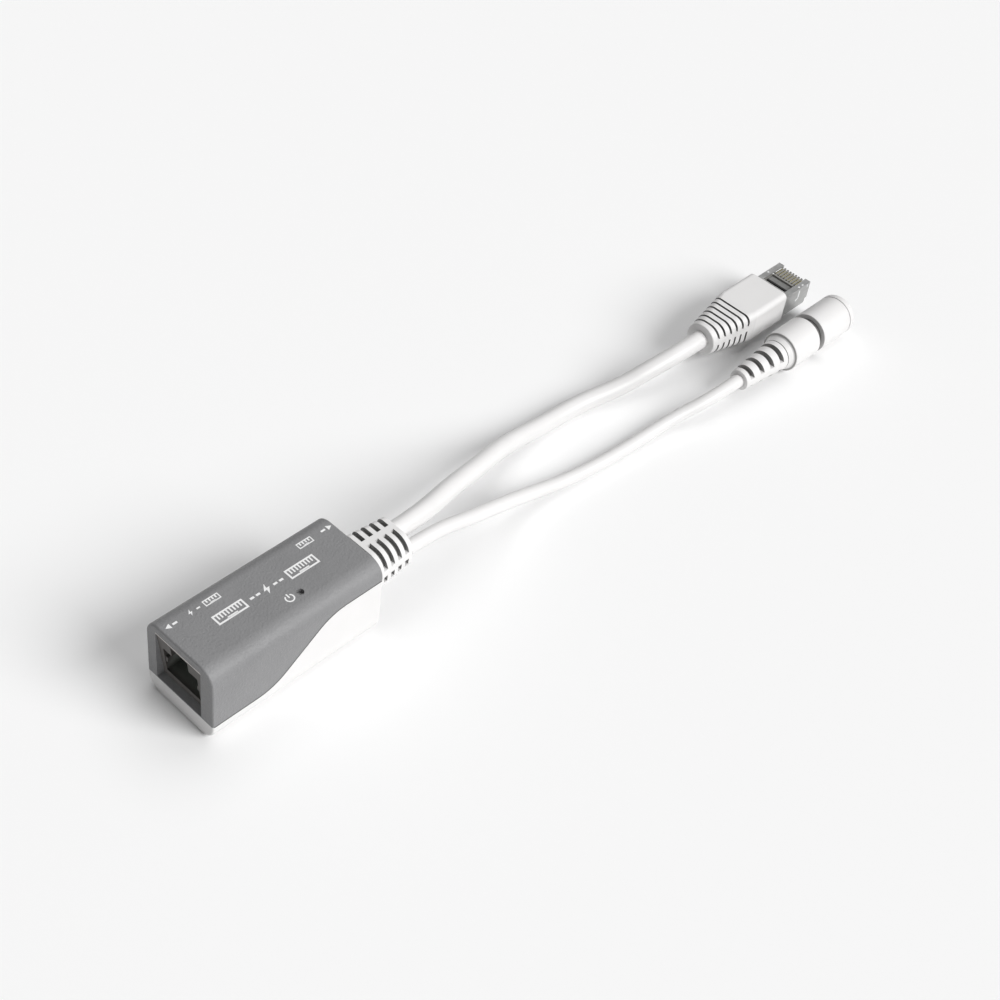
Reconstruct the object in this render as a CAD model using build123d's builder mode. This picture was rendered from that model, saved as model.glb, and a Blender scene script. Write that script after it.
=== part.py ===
"""Passive power-over-ethernet injector lead.

A small box with a modular socket at one end, and two short leads at the other: a data lead that
ends in a shielded modular plug, and a power lead that ends in a female barrel jack.

Millimetres. X is the width, Y runs from the socket end to the leads, Z is up from the floor.
The origin is under the middle of the box and its strain relief. The plug and the barrel jack lie
on the same floor, the plug on its latch.
"""

from build123d import *
import os
from math import pi, radians, tan

# ---- Driving dimensions: box ------------------------------------------------------------------
body_width = 23.0
body_height = 23.0
body_length = 51.0
long_edge_radius = 4.3
end_rounding = 0.5
wall = 1.8
fit_gap = 0.1
joint_front_z = 5.3
joint_rear_z = 17.9
joint_rise_start = 17.7
joint_rise_end = 35.0
joint_bend = 14.0
lip_depth = 1.2
snap_length = 5.0
snap_height = 0.8
snap_reach = 0.35

# ---- Socket -----------------------------------------------------------------------------------
socket_x = -0.4
mouth_width = 15.6
mouth_bottom_z = 5.55
mouth_top_z = 20.8
mouth_draft = 0.6
face_top_depth = 0.15
face_rake = 6.0
jack_depth = 17.6
port_width = 11.9
port_bottom_z = 8.5
port_height = 8.0
port_depth = 13.0
notch_width = 5.9
notch_height = 3.1
contact_count = 8
contact_pitch = 1.02
contact_size = 0.4
contact_lane = 0.62
contact_start = 6.2
ledge_width = 0.8
ledge_height = 1.5
ledge_z = 12.7
ledge_start = 1.2

# ---- Circuit board and what it carries --------------------------------------------------------
board_gap = 0.2
board_thickness = 1.6
board_z = 4.6
board_front = 2.4
board_rear = 4.6
post_radius = 1.6
clamp_radius = 0.95
clamp_gap = 0.25
clamp_y = 36.6
pin_radius = 0.8
post_gap = 0.2
post_front = 20.2
post_rear = 43.6
lamp_x = 4.95
lamp_y = 30.9
lamp_hole_radius = 0.95
pipe_recess = 1.3
pipe_collar_radius = 1.7
magnetics_size = (9.4, 14.0, 5.2)
magnetics_at = (-4.2, 28.4)
can_radius = 3.15
can_height = 8.0
can_at = (5.2, 24.4)
choke_size = 4.6
choke_height = 3.6
choke_at = (-5.2, 40.4)
fuse_at = (3.0, 36.4)
diode_size = (2.6, 4.2, 2.2)
diode_edge = 3.5
diode_depth = 35.0
resistor_at = (7.6, 31.0)

# ---- Strain relief ----------------------------------------------------------------------------
relief_length = 11.4
relief_x = 4.2
relief_width = 13.1
relief_height = 9.9
relief_taper = 1.0
relief_outer_radius = 4.4
relief_inner_radius = 2.0
relief_lower_radius = 2.3
relief_side_end_z = 15.3
relief_skin = 1.2
relief_slot = 1.25
relief_pitch = 2.5
relief_first_slot = 1.2
relief_rows = 4
neck_width = 9.2
neck_height = 5.0
flange_lip = 0.7
flange_thickness = 1.5
core_gap = 0.03

# ---- Leads ------------------------------------------------------------------------------------
data_diameter = 5.3
power_diameter = 3.8
data_exit_x = 1.7
power_exit_x = 7.8
wire_diameter = 0.85
power_wire_diameter = 1.2

# ---- Modular plug and its boot ----------------------------------------------------------------
plug_x = -3.03
plug_front = 171.65
plug_length = 21.5
plug_width = 11.7
plug_height = 7.3
plug_top_z = 11.05
shield_thickness = 0.3
boot_front = 158.15
boot_length = 30.8
boot_straight = 14.35
boot_width = 13.9
boot_height = 10.3
boot_bottom_z = 3.2
boot_corner = 1.6
boot_tail_diameter = 9.5
boot_slots = 6
boot_slot = 0.7
boot_slot_pitch = 2.24
boot_first_slot = 3.45
boot_skin = 0.9
boot_end_wall = 1.4
latch_length = 11.6
latch_thickness = 0.9
latch_floor_gap = 0.35
latch_width = 3.2
latch_shoulder_width = 6.0
latch_shoulder_length = 5.5

# ---- Barrel jack ------------------------------------------------------------------------------
barrel_x = 13.93
barrel_radius = 6.0
barrel_rear = 143.93
barrel_front = 172.7
barrel_groove_rear = 155.15
barrel_groove_front = 157.45
barrel_groove_depth = 1.35
barrel_groove_rounding = 0.2
barrel_nose_rounding = 1.2
nose_groove_back = 2.8
nose_groove = 0.5
nose_groove_depth = 0.22
step_radius = 5.0
step_start_radius = 4.6
step_length = 2.33
step_cove = 0.6
step_groove = 0.35
step_groove_depth = 0.45
tail_length = 17.05
tail_root_radius = 4.6
tail_end_radius = 3.07
tail_core_root_radius = 3.0
tail_core_end_radius = 2.05
tail_slots = 4
tail_slot = 1.6
tail_slot_pitch = 4.06
tail_first_slot = 2.52
tail_rib = 2.6
bore_radius = 2.8
sleeve_wall = 0.3
insulator_wall = 0.8
bore_depth = 9.5
pin_tip_recess = 1.5
centre_pin_radius = 1.05

# ---- Places worked out from the dimensions ----------------------------------------------------
front_y = -(body_length + relief_length) / 2
rear_y = front_y + body_length
relief_end_y = rear_y + relief_length
board_top = board_z + board_thickness
relief_z = joint_rear_z
mouth_depth = wall
mouth_height = mouth_top_z - mouth_bottom_z
jack_width = mouth_width - 2 * mouth_draft
jack_height = mouth_top_z - board_top
boot_z = boot_bottom_z + boot_height / 2
boot_rear = boot_front - boot_length
board_width = body_width - 2 * (wall + board_gap)
post_x = body_width / 2 - wall - post_radius - post_gap
clamp_x = body_width / 2 - wall - clamp_radius - clamp_gap
barrel_tail_start = barrel_rear - step_length
barrel_tail_end = barrel_tail_start - tail_length
cable_data_end = boot_rear

# Control points of the two leads, chosen by hand: out of the strain relief, down to the floor,
# along it, and up to the boot and to the barrel jack. Distances along Y are from the end of the
# strain relief, as are those of the plug, its boot and the barrel jack.
data_route = [
    (data_exit_x, 0, relief_z),
    (data_exit_x, 10.1, relief_z),
    (-1.8, 23.6, 15.4),
    (-6.3, 38.1, 10.0),
    (-10.9, 53.6, 5.0),
    (-11.6, 69.6, 2.7),
    (-10.8, 84.6, 2.7),
    (-8.0, 97.6, 3.1),
    (-5.0, 108.0, 6.3),
    (plug_x, 118.0, boot_z),
    (plug_x, cable_data_end, boot_z),
]
power_route = [
    (power_exit_x, 0, relief_z),
    (power_exit_x, 9.1, relief_z),
    (8.1, 21.1, 14.8),
    (5.9, 34.1, 8.8),
    (5.2, 46.6, 4.2),
    (6.8, 59.6, 1.95),
    (8.8, 73.6, 1.95),
    (9.4, 87.6, 1.95),
    (10.4, 100.6, 2.6),
    (barrel_x, 113.1, barrel_radius),
    (barrel_x, barrel_tail_end, barrel_radius),
]


def along(distance):
    """Y of a place this far from the socket face."""
    return front_y + distance


def beyond(distance):
    """Y of a place this far from the end of the strain relief."""
    return relief_end_y + distance


def across(y):
    """Plane across the box at y, with local x along X and local y along Z. It faces the socket end."""
    return Plane(origin=(0, y, 0), x_dir=(1, 0, 0), z_dir=(0, -1, 0))


def finish_part(piece, name):
    """Names a piece and writes it to its own STEP file."""
    piece.part.label = name
    export_step(piece.part, f"parts/{name}.step")


os.makedirs("parts", exist_ok=True)


# ==== Box ======================================================================================
def box_section(inset):
    """Cross-section of the box, drawn inwards by inset."""
    with Locations((0, body_height / 2)):
        RectangleRounded(body_width - 2 * inset, body_height - 2 * inset, long_edge_radius - inset)


def joint_area(side, drop):
    """Side view of all that lies above (side 1) or below (side -1) the joint line, lowered by drop."""
    far_z = body_height / 2 + side * body_height
    low_z = joint_front_z - drop
    high_z = joint_rear_z - drop
    with BuildSketch(Plane.YZ) as area:
        with BuildLine():
            line = FilletPolyline(
                (front_y - 5, low_z),
                (along(joint_rise_start), low_z),
                (along(joint_rise_end), high_z),
                (rear_y + 5, high_z),
                radius=joint_bend,
            )
            Polyline(line @ 1, (rear_y + 5, far_z), (front_y - 5, far_z), line @ 0)
        make_face()
    return area.sketch


def neck_section(inset):
    """Cross-section of the strain relief's neck where it passes through the rear wall."""
    with Locations((relief_x, relief_z)):
        RectangleRounded(neck_width - 2 * inset, neck_height - 2 * inset, 2.0)


def mouth_section(y, draft, gap):
    """Outline of the socket's mouth at a depth where each side but the top has drawn in by draft."""
    low_z = mouth_bottom_z + draft * 1.5 + gap
    high_z = mouth_top_z - gap
    with BuildSketch(across(y)) as outline:
        with Locations((socket_x, (low_z + high_z) / 2)):
            Rectangle(mouth_width - 2 * (draft + gap), high_z - low_z)
    return outline.sketch


def hollow_box():
    """The closed hollow box that the two covers are cut from."""
    with BuildPart() as shell:
        with BuildSketch(across(front_y)):
            box_section(0)
        extrude(amount=-body_length)
        ends = shell.edges().group_by(Axis.Y)
        fillet(ends[0] + ends[-1], end_rounding)
        with BuildSketch(across(front_y + wall)):
            box_section(wall)
        extrude(amount=-(body_length - 2 * wall), mode=Mode.SUBTRACT)
    return shell.part


def lip_ring(gap):
    """Inner half of the box's wall, as a ring right round, from which the joint's lip is cut."""
    half = wall / 2 + gap
    with BuildPart() as ring:
        with BuildSketch(across(front_y + half)):
            box_section(half)
        extrude(amount=-(body_length - 2 * half))
        with BuildSketch(across(front_y + wall)):
            box_section(wall)
        extrude(amount=-(body_length - 2 * wall), mode=Mode.SUBTRACT)
    return ring.part


def lip(gap):
    """The lip ring between the joint line and lip_depth below it."""
    with BuildPart() as band:
        add(lip_ring(gap))
        extrude(joint_area(-1, -0.01), amount=body_width, both=True, mode=Mode.INTERSECT)
        extrude(joint_area(1, lip_depth - gap), amount=body_width, both=True, mode=Mode.INTERSECT)
    return band.part


def snap_places():
    """Middle of each snap bump: two on each side, where the joint line is level."""
    level = lip_depth / 2
    for x in (-1, 1):
        side = x * (body_width / 2 - wall / 2)
        yield (side, along(joint_rise_start / 2), joint_front_z - level)
        yield (side, (along(joint_rise_end) + rear_y) / 2, joint_rear_z - level)


with BuildPart() as top_cover:
    add(hollow_box())
    extrude(joint_area(1, 0), amount=body_width, both=True, mode=Mode.INTERSECT)
    add(lip(fit_gap))
    with Locations(*snap_places()):
        Box(2 * snap_reach, snap_length, snap_height / 2)
    # Mouth of the socket, drawn in towards the jack.
    mouth_rear_y = front_y + mouth_depth + 0.01
    loft([mouth_section(front_y, 0, 0), mouth_section(mouth_rear_y, mouth_draft, 0)], mode=Mode.SUBTRACT)
    # Hole for the lamp's light pipe, with a boss that the pipe's collar seats on.
    with Locations((lamp_x, along(lamp_y), body_height)):
        Hole(lamp_hole_radius, depth=wall + 1)
    # Opening that the strain relief's neck passes through.
    with BuildSketch(across(rear_y + 1)):
        neck_section(-fit_gap)
    extrude(amount=wall + 2, mode=Mode.SUBTRACT)
    # Posts that hold the board down.
    with BuildSketch(Plane.XY.offset(board_top + fit_gap)):
        with Locations((-clamp_x, along(clamp_y)), (clamp_x, along(clamp_y))):
            Circle(clamp_radius)
    extrude(amount=body_height - wall / 2 - board_top - fit_gap)
finish_part(top_cover, "top_cover")

with BuildPart() as bottom_cover:
    add(hollow_box())
    extrude(joint_area(-1, 0), amount=body_width, both=True, mode=Mode.INTERSECT)
    add(lip(0), mode=Mode.SUBTRACT)
    with Locations(*snap_places()):
        Box(2 * (snap_reach + fit_gap), snap_length + 2 * fit_gap, snap_height, mode=Mode.SUBTRACT)
    with BuildSketch(across(rear_y + 1)):
        neck_section(-fit_gap)
    extrude(amount=wall + 2, mode=Mode.SUBTRACT)
    # Posts with pins that locate the board.
    board_posts = [(x, along(y)) for x in (-post_x, post_x) for y in (post_front, post_rear)]
    with BuildSketch(Plane.XY.offset(wall / 2)):
        with Locations(*board_posts):
            Circle(post_radius)
    extrude(amount=board_z - wall / 2)
    with BuildSketch(Plane.XY.offset(board_z)):
        with Locations(*board_posts):
            Circle(pin_radius)
    extrude(amount=board_thickness + 0.8)
finish_part(bottom_cover, "bottom_cover")


# ==== Socket ===================================================================================
contact_offsets = [(i - (contact_count - 1) / 2) * contact_pitch for i in range(contact_count)]
contact_floor = port_bottom_z - 1.1
contact_front = front_y + contact_start
contact_tail = front_y + jack_depth - 2.6

with BuildPart() as jack_housing:
    loft([mouth_section(front_y, 0, 0.05), mouth_section(front_y + mouth_depth, mouth_draft, 0.05)])
    with BuildSketch(across(front_y + mouth_depth)):
        with Locations((socket_x, board_top + (jack_height - fit_gap) / 2)):
            Rectangle(jack_width - 2 * 0.05, jack_height - fit_gap)
    extrude(amount=-(jack_depth - mouth_depth))
    # Raked face, deeper at the bottom than at the top.
    with BuildSketch(Plane.YZ.offset(-body_width)):
        with BuildLine():
            fall = (mouth_height + 2) * tan(radians(face_rake))
            top = (front_y + face_top_depth, mouth_top_z)
            foot = (front_y + face_top_depth + fall, mouth_top_z - mouth_height - 2)
            Polyline(top, foot, (front_y - 5, foot[1]), (front_y - 5, top[1]), top)
        make_face()
    extrude(amount=2 * body_width, mode=Mode.SUBTRACT)
    # T-shaped port: wide for the plug, with a notch above for its latch.
    with BuildSketch(across(front_y - 1)):
        with Locations((socket_x, port_bottom_z + port_height / 2)):
            Rectangle(port_width, port_height)
        with Locations((socket_x, port_bottom_z + port_height + notch_height / 2)):
            Rectangle(notch_width, notch_height + 0.02)
    extrude(amount=-(port_depth + 1), mode=Mode.SUBTRACT)
    # Ledge along each side wall that guides the plug.
    with BuildSketch(across(front_y + ledge_start)):
        for side in (-1, 1):
            with Locations((socket_x + side * (port_width - ledge_width) / 2, ledge_z)):
                Rectangle(ledge_width + 0.02, ledge_height)
    extrude(amount=-(port_depth - ledge_start))
    # Lane for each contact, and the hole its tail goes down through.
    for offset_x in contact_offsets:
        x = socket_x + offset_x
        with BuildSketch(Plane.YZ.offset(x - contact_lane / 2)):
            with BuildLine():
                Polyline(
                    (contact_front - 0.8, contact_floor - 0.35),
                    (contact_tail + 0.5, contact_floor - 0.35),
                    (contact_tail + 0.5, port_bottom_z + 0.02),
                    (contact_front - 0.8, port_bottom_z + 0.02),
                    close=True,
                )
            make_face()
        extrude(amount=contact_lane, mode=Mode.SUBTRACT)
        with Locations((x, contact_tail, board_top)):
            Box(contact_lane, contact_lane, 3.0, mode=Mode.SUBTRACT)
finish_part(jack_housing, "jack_housing")

with BuildPart() as jack_contacts:
    for offset_x in contact_offsets:
        with BuildSketch(Plane.YZ.offset(socket_x + offset_x)):
            with BuildLine():
                FilletPolyline(
                    (contact_tail, board_z - 0.6),
                    (contact_tail, contact_floor),
                    (contact_front, contact_floor),
                    (contact_front + 5.6, port_bottom_z + 3.4),
                    radius=[0.5, 0.35],
                )
            trace(line_width=contact_size)
        extrude(amount=contact_size / 2, both=True)
finish_part(jack_contacts, "jack_contacts")


# ==== Circuit board ============================================================================
def pad_places():
    """Where the data wires (two rows of four) and the two power wires enter the board."""
    rows = (body_length - board_rear - 6.6, body_length - board_rear - 3.4)
    data = [(data_exit_x - 1.4 + 1.7 * i, along(y)) for y in rows for i in (-1.5, -0.5, 0.5, 1.5)]
    power = [(power_exit_x - 1.1 + 0.9 * side, along(rows[0])) for side in (-1, 1)]
    return data, power


data_pads, power_pads = pad_places()

with BuildPart() as circuit_board:
    board_length = body_length - board_front - board_rear
    with BuildSketch(Plane.XY.offset(board_z)):
        with Locations((0, along(board_front) + board_length / 2)):
            Rectangle(board_width, board_length)
        with Locations(*board_posts):
            Circle(pin_radius + fit_gap, mode=Mode.SUBTRACT)
        with Locations(*data_pads):
            Circle(wire_diameter / 2 + 0.08, mode=Mode.SUBTRACT)
        with Locations(*power_pads):
            Circle(power_wire_diameter / 2 + 0.08, mode=Mode.SUBTRACT)
        with Locations(*[(socket_x + offset_x, contact_tail) for offset_x in contact_offsets]):
            Circle(contact_lane / 2 + 0.02, mode=Mode.SUBTRACT)
    extrude(amount=board_thickness)
finish_part(circuit_board, "circuit_board")

with BuildPart() as magnetics_module:
    width, length, height = magnetics_size
    with BuildSketch(Plane.XY.offset(board_top + 0.3)):
        with Locations((magnetics_at[0], along(magnetics_at[1]))):
            Rectangle(width - 2.0, length)
    extrude(amount=height)
    chamfer(magnetics_module.faces().sort_by(Axis.Z)[-1].edges(), 0.3)
finish_part(magnetics_module, "magnetics_module")

with BuildPart() as magnetics_pins:
    pin_rows = 12
    pin_pitch = (magnetics_size[1] - 2.0) / (pin_rows - 1)
    root_x = magnetics_size[0] / 2 - 1.0
    for side in (-1, 1):
        for row in range(pin_rows):
            y = along(magnetics_at[1]) + (row - (pin_rows - 1) / 2) * pin_pitch
            with BuildSketch(Plane(origin=(0, y, 0), x_dir=(1, 0, 0), z_dir=(0, -1, 0))):
                with BuildLine():
                    FilletPolyline(
                        (magnetics_at[0] + side * (root_x + 0.02), board_top + 2.0),
                        (magnetics_at[0] + side * (root_x + 0.5), board_top + 2.0),
                        (magnetics_at[0] + side * (root_x + 0.5), board_top + 0.12),
                        (magnetics_at[0] + side * (root_x + 1.3), board_top + 0.12),
                        radius=0.2,
                    )
                trace(line_width=0.2)
            extrude(amount=0.2, both=True)
finish_part(magnetics_pins, "magnetics_pins")

with BuildPart() as filter_capacitor:
    with BuildSketch(Plane.XY.offset(board_top)):
        with Locations((can_at[0], along(can_at[1]))):
            Circle(can_radius)
    extrude(amount=can_height)
    fillet(filter_capacitor.edges().filter_by(GeomType.CIRCLE).group_by(Axis.Z)[-1], 0.5)
finish_part(filter_capacitor, "filter_capacitor")

with BuildPart() as filter_choke:
    with BuildSketch(Plane.XY.offset(board_top)):
        with Locations((choke_at[0], along(choke_at[1]))):
            RectangleRounded(choke_size, choke_size, 0.8)
    extrude(amount=choke_height)
finish_part(filter_choke, "filter_choke")

with BuildPart() as rectifier_diode:
    with Locations((board_width / 2 - diode_edge, along(diode_depth), board_top + diode_size[2] / 2)):
        Box(*diode_size)
    chamfer(rectifier_diode.faces().sort_by(Axis.Z)[-1].edges(), 0.3)
finish_part(rectifier_diode, "rectifier_diode")

with BuildPart() as resettable_fuse:
    with Locations((fuse_at[0], along(fuse_at[1]), board_top + 0.5)):
        Box(2.6, 3.6, 1.0)
finish_part(resettable_fuse, "resettable_fuse")

with BuildPart() as lamp_resistor:
    with Locations((resistor_at[0], along(resistor_at[1]), board_top + 0.25)):
        Box(1.2, 2.0, 0.5)
finish_part(lamp_resistor, "lamp_resistor")

with BuildPart() as status_lamp:
    with Locations((lamp_x, along(lamp_y), board_top + 0.4)):
        Box(1.9, 1.9, 0.8)
    with BuildSketch(Plane.XY.offset(board_top + 0.8)):
        with Locations((lamp_x, along(lamp_y))):
            Circle(0.75)
    extrude(amount=0.5)
finish_part(status_lamp, "status_lamp")

with BuildPart() as light_pipe:
    roof_z = body_height - wall
    with BuildSketch(Plane.XY.offset(board_top + 1.6)):
        with Locations((lamp_x, along(lamp_y))):
            Circle(lamp_hole_radius - 0.05)
    extrude(amount=body_height - pipe_recess - board_top - 1.6)
    with BuildSketch(Plane.XY.offset(roof_z - 1.0)):
        with Locations((lamp_x, along(lamp_y))):
            Circle(pipe_collar_radius)
    extrude(amount=1.0)
finish_part(light_pipe, "light_pipe")


# ==== Strain relief ============================================================================
def relief_outline(share, inset):
    """Section of the strain relief a share of the way along it, drawn in by inset."""
    width = relief_width - 2 * (relief_taper * share + inset)
    height = relief_height - 0.5 * share - 2 * inset
    outer_radius = min(relief_outer_radius, height / 2 + inset - 0.2) - inset
    with BuildSketch(across(rear_y + share * relief_length)) as outline:
        with Locations((relief_x, relief_z)):
            Rectangle(width, height)
        # Each corner is looked up again, because a fillet makes the outline's vertices anew.
        fillet(outline.vertices().group_by(Axis.X)[-1].sort_by(Axis.Y)[-1], outer_radius)
        fillet(outline.vertices().group_by(Axis.X)[-1].sort_by(Axis.Y)[0], relief_lower_radius - inset)
        fillet(outline.vertices().group_by(Axis.X)[0], relief_inner_radius - inset)
    return outline.sketch


def relief_block(inset):
    """Tapered block of the strain relief, drawn in by inset, outside the box."""
    with BuildPart() as block:
        loft([relief_outline(0, inset), relief_outline(1, inset)])
    return block.part


with BuildPart() as relief_core:
    add(relief_block(relief_skin + core_gap))
    with BuildSketch(across(rear_y)):
        neck_section(0)
    extrude(amount=wall)
    with BuildSketch(across(rear_y - wall)) as flange:
        neck_section(-flange_lip)
        with Locations((0, body_height / 2)):
            RectangleRounded(
                body_width - 2 * (wall + fit_gap),
                body_height - 2 * (wall + fit_gap),
                long_edge_radius - wall - fit_gap,
                mode=Mode.INTERSECT,
            )
    extrude(amount=flange_thickness)
finish_part(relief_core, "relief_core")

with BuildPart() as relief_sleeve:
    add(relief_block(0))
    fillet(relief_sleeve.faces().sort_by(Axis.Y)[-1].edges(), 0.4)
    add(relief_block(relief_skin), mode=Mode.SUBTRACT)
    for row in range(relief_rows):
        slot_y = rear_y + relief_first_slot + row * relief_pitch
        with BuildSketch(across(slot_y)):
            with Locations((relief_x, relief_z)):
                Rectangle(relief_width + 4, relief_height + 4)
                # Ribs that tie the rings together: over and under, and along each side.
                with Locations((-1.0, 0)):
                    Rectangle(1.6, relief_height + 8, mode=Mode.SUBTRACT)
                with Locations((0, 0.25)):
                    Rectangle(relief_width + 8, 2.1, mode=Mode.SUBTRACT)
                # The lower right corner is solid, so the slot in the side ends above it.
                with Locations((relief_width / 2 + 2, relief_side_end_z - relief_z)):
                    corner = (Align.MAX, Align.MAX)
                    Rectangle(relief_lower_radius + 2, relief_height, align=corner, mode=Mode.SUBTRACT)
        extrude(amount=-relief_slot, mode=Mode.SUBTRACT)
finish_part(relief_sleeve, "relief_sleeve")


# ==== Leads ====================================================================================
def lead_radii(points):
    """Bend at each inner point: 0.45 of the shorter run beside it over the tangent of half the turn."""
    places = [Vector(*point) for point in points]
    radii = []
    for before, here, after in zip(places, places[1:], places[2:]):
        shorter = min((here - before).length, (after - here).length)
        turn = (here - before).get_angle(after - here)
        radii.append(0.45 * shorter / tan(radians(turn / 2)))
    return radii


def lead_points(route):
    """Route of a lead in the part's own frame."""
    return [(x, beyond(distance), z) for x, distance, z in route]


def swept_tube(points, radii, diameter):
    """Round tube along straight runs joined by arcs."""
    with BuildPart() as tube:
        with BuildLine():
            path = FilletPolyline(*points, radius=radii)
        with BuildSketch(Plane(origin=path @ 0, z_dir=path % 0)):
            Circle(diameter / 2)
        sweep(path=path)
    section = pi * diameter**2 / 4
    print(f"length {path.length:.1f}, volume over section {tube.part.volume / section:.1f}")
    return tube.part


for name, route, diameter in (
    ("data_cable", data_route, data_diameter),
    ("power_cable", power_route, power_diameter),
):
    points = lead_points(route)
    radii = lead_radii(points)
    print(name, "radii", [round(radius, 1) for radius in radii])
    with BuildPart() as lead:
        add(swept_tube(points, radii, diameter))
    finish_part(lead, name)

wire_start_y = rear_y - wall - flange_thickness
wire_rows = (0.62, -0.62)

with BuildPart() as data_wires:
    for index, (pad_x, pad_y) in enumerate(data_pads):
        row, column = divmod(index, 4)
        start = (data_exit_x + 1.05 * (column - 1.5), wire_start_y, relief_z + wire_rows[row])
        corner = (start[0], pad_y + 0.6, start[2])
        with BuildLine():
            wire = FilletPolyline(start, corner, (pad_x, pad_y, board_top + 3), (pad_x, pad_y, board_z), radius=0.55)
        with BuildSketch(Plane(origin=start, z_dir=(0, -1, 0))):
            Circle(wire_diameter / 2)
        sweep(path=wire)
finish_part(data_wires, "data_wires")

with BuildPart() as power_wires:
    for side, (pad_x, pad_y) in zip((-1, 1), power_pads):
        start = (power_exit_x + 0.75 * side, wire_start_y, relief_z)
        corner = (start[0], pad_y + 0.6, start[2])
        with BuildLine():
            wire = FilletPolyline(start, corner, (pad_x, pad_y, board_top + 3), (pad_x, pad_y, board_z), radius=0.8)
        with BuildSketch(Plane(origin=start, z_dir=(0, -1, 0))):
            Circle(power_wire_diameter / 2)
        sweep(path=wire)
finish_part(power_wires, "power_wires")


# ==== Modular plug =============================================================================
plug_nose_y = beyond(plug_front)
plug_bottom_z = plug_top_z - plug_height
plug_z = (plug_top_z + plug_bottom_z) / 2
body_inset = shield_thickness + 0.05
slot_length = 5.0
nose_step = 0.8
nose_step_z = plug_bottom_z + 1.55
window_width = 8.0
window_length = 10.3
comb_length = 5.8
bar_length = 2.9
bar_depth = 0.9
pocket_depth = 2.2
latch_tip_z = latch_floor_gap + latch_thickness / 2
latch_root = (plug_nose_y - 1.4, plug_bottom_z - 0.15 - latch_thickness / 2)


def plug_block(inset, front_cut, length):
    """Plug-shaped block with the step under its nose, from front_cut behind the nose."""
    with BuildPart() as block:
        with BuildSketch(Plane.YZ.offset(plug_x)):
            with BuildLine():
                low_z = plug_bottom_z + inset
                high_z = plug_top_z - inset
                front = plug_nose_y - front_cut
                Polyline(
                    (front, high_z),
                    (front, nose_step_z + inset),
                    (front - nose_step, nose_step_z + inset),
                    (front - nose_step, low_z + 0.4),
                    (front - nose_step - 0.4, low_z),
                    (plug_nose_y - length, low_z),
                    (plug_nose_y - length, high_z),
                    close=True,
                )
            make_face()
        extrude(amount=plug_width / 2 - inset, both=True)
    return block.part


with BuildPart() as plug_shield:
    add(plug_block(0, 0, plug_length - 3))
    add(plug_block(shield_thickness, 0.35, plug_length), mode=Mode.SUBTRACT)
    # Window over the contacts and the strain bar behind them.
    window_back = plug_nose_y - window_length
    with Locations((plug_x, plug_nose_y - window_length / 2, plug_top_z)):
        Box(window_width, window_length, 2 * shield_thickness + 0.1, mode=Mode.SUBTRACT)
    # Open nose, so that the comb of the body shows between the side walls.
    with Locations((plug_x, plug_nose_y, plug_z + 1.2)):
        Box(window_width, 2.0, plug_height - 1.0, mode=Mode.SUBTRACT)
    # Window for the latch underneath.
    with Locations((plug_x, plug_nose_y - latch_length / 2, plug_bottom_z)):
        Box(latch_shoulder_width + 0.8, latch_length + 3, 2 * shield_thickness + 0.1, mode=Mode.SUBTRACT)
    # Hooked window in each side wall, which the contact spring of a shielded socket catches.
    for side in (-1, 1):
        with BuildSketch(Plane.YZ.offset(plug_x + side * plug_width / 2)):
            with BuildLine():
                FilletPolyline(
                    (plug_nose_y - 5.0, plug_z + 2.7),
                    (plug_nose_y - 5.0, plug_z - 0.1),
                    (plug_nose_y - 6.2, plug_z - 0.6),
                    radius=0.5,
                )
            trace(line_width=0.6)
        extrude(amount=0.5, both=True, mode=Mode.SUBTRACT)
finish_part(plug_shield, "plug_shield")

with BuildPart() as plug_body:
    add(plug_block(body_inset, 0.4, plug_length - 1))
    # Slots for the contact blades.
    for offset_x in contact_offsets:
        with Locations((plug_x + offset_x, plug_nose_y - slot_length / 2, plug_top_z)):
            Box(0.5, slot_length, 5.0, mode=Mode.SUBTRACT)
    # Step across the top, behind the contacts, where the strain bar is pressed in.
    pocket_front = plug_nose_y - comb_length
    pocket_length = window_length - comb_length + 0.4
    with Locations((plug_x, pocket_front - pocket_length / 2, plug_top_z)):
        Box(window_width - 0.2, pocket_length, 2 * pocket_depth, mode=Mode.SUBTRACT)
    # Hollow for the wires and the lead's jacket.
    with BuildSketch(across(plug_nose_y - plug_length + 0.5)):
        with Locations((plug_x, plug_z - 0.2)):
            RectangleRounded(7.6, 3.4, 1.2)
    extrude(amount=-(plug_length - slot_length - 6), mode=Mode.SUBTRACT)
finish_part(plug_body, "plug_body")

with BuildPart() as plug_contacts:
    for offset_x in contact_offsets:
        blade_top = plug_top_z - body_inset - 0.35
        blade_height = 1.8
        blade_length = slot_length - 1.2
        with BuildSketch(Plane.YZ.offset(plug_x + offset_x)):
            with Locations((plug_nose_y - 0.95 - blade_length / 2, blade_top - blade_height / 2)):
                Rectangle(blade_length, blade_height)
        extrude(amount=0.17, both=True)
finish_part(plug_contacts, "plug_contacts")

with BuildPart() as plug_strain_bar:
    bar_height = pocket_depth - bar_depth
    with Locations((plug_x, pocket_front - bar_length / 2, plug_top_z - pocket_depth + bar_height / 2)):
        Box(window_width - 0.5, bar_length - 0.1, bar_height)
finish_part(plug_strain_bar, "plug_strain_bar")

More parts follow.
